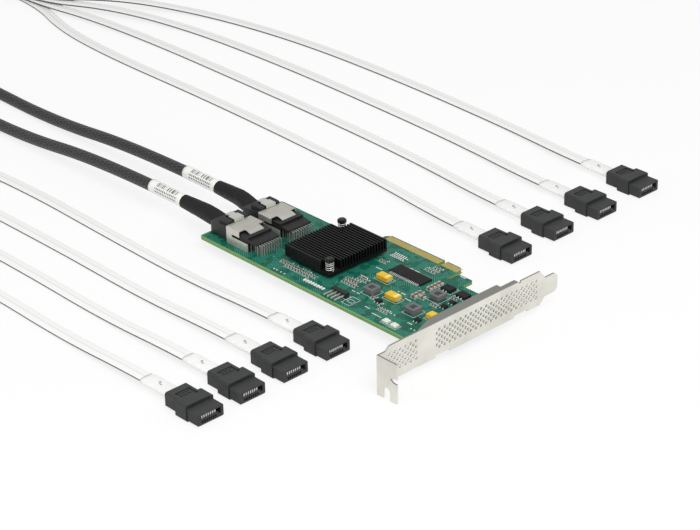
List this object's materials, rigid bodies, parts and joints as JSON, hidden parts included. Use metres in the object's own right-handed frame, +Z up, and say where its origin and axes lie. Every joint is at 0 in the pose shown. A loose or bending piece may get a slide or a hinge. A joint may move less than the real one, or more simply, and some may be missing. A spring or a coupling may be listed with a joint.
{
  "type": "drive controller card with break-out cables",
  "caption": "Plug-in drive controller card with a perforated slot bracket, a finned heat sink and break-out cables that end in flat drive plugs.",
  "frame": {"origin": "centre of the bounding box of the card with its bracket and seated cable plugs, in plan, at the level of the bracket tab's lower edge", "axes": "+X along the card and out through the bracket, +Y from the card's free edge to its edge connector, +Z up from the solder side to the component side"},
  "size_m": [0.6265, 0.3374, 0.0228],
  "materials": {
    "board": "solder mask, satin",
    "gold": "gold plate",
    "bracket": "nickel-plated sheet steel",
    "screw": "nickel-plated",
    "package": "moulded epoxy",
    "pad": "soft",
    "anodised": "black anodised",
    "black_plastic": "moulded",
    "spring_steel": "bright",
    "tin": "tin plate",
    "tantalum": "moulded",
    "ferrite": "pressed powder",
    "lamp": "moulded",
    "port_lamp": "moulded",
    "ceramic": "fired",
    "chip_parts": "fired",
    "marker": "film",
    "cage": "tin-plated sheet",
    "plug": "moulded",
    "shrink": "heat-shrink tube",
    "braid": "woven filament",
    "flat_cable": "extruded jacket"
  },
  "bodies": {
    "root": {"bracket_screws": "screw", "ceramic_capacitors": "ceramic", "circuit_board": "board", "contact_tails": "gold", "controller_chip": "package", "drive_contacts": "gold", "drive_plug_1": "plug", "drive_plug_2": "plug", "drive_plug_3": "plug", "drive_plug_4": "plug", "drive_plug_5": "plug", "drive_plug_6": "plug", "drive_plug_7": "plug", "drive_plug_8": "plug", "edge_contacts": "gold", "flash_chip": "package", "flash_leads": "tin", "flat_cable_1": "flat_cable", "flat_cable_2": "flat_cable", "flat_cable_3": "flat_cable", "flat_cable_4": "flat_cable", "flat_cable_5": "flat_cable", "flat_cable_6": "flat_cable", "flat_cable_7": "flat_cable", "flat_cable_8": "flat_cable", "front_boot": "shrink", "front_cable_plug": "plug", "front_cage": "cage", "front_label": "marker", "front_latch": "spring_steel", "front_receptacle": "black_plastic", "front_sleeve": "braid", "front_strain_relief": "shrink", "header_body": "black_plastic", "header_pins": "gold", "heat_sink": "anodised", "indicator_lamps": "lamp", "inductors": "ferrite", "marker_sleeves": "marker", "port_lamps": "port_lamp", "push_pins": "black_plastic", "rear_boot": "shrink", "rear_cable_plug": "plug", "rear_cage": "cage", "rear_label": "marker", "rear_latch": "spring_steel", "rear_receptacle": "black_plastic", "rear_sleeve": "braid", "rear_strain_relief": "shrink", "regulator_leads": "tin", "regulators": "package", "slot_bracket": "bracket", "small_parts": "chip_parts", "tantalum_capacitors": "tantalum", "tantalum_terminals": "tin", "thermal_pad": "pad"}
  },
  "joints": []
}
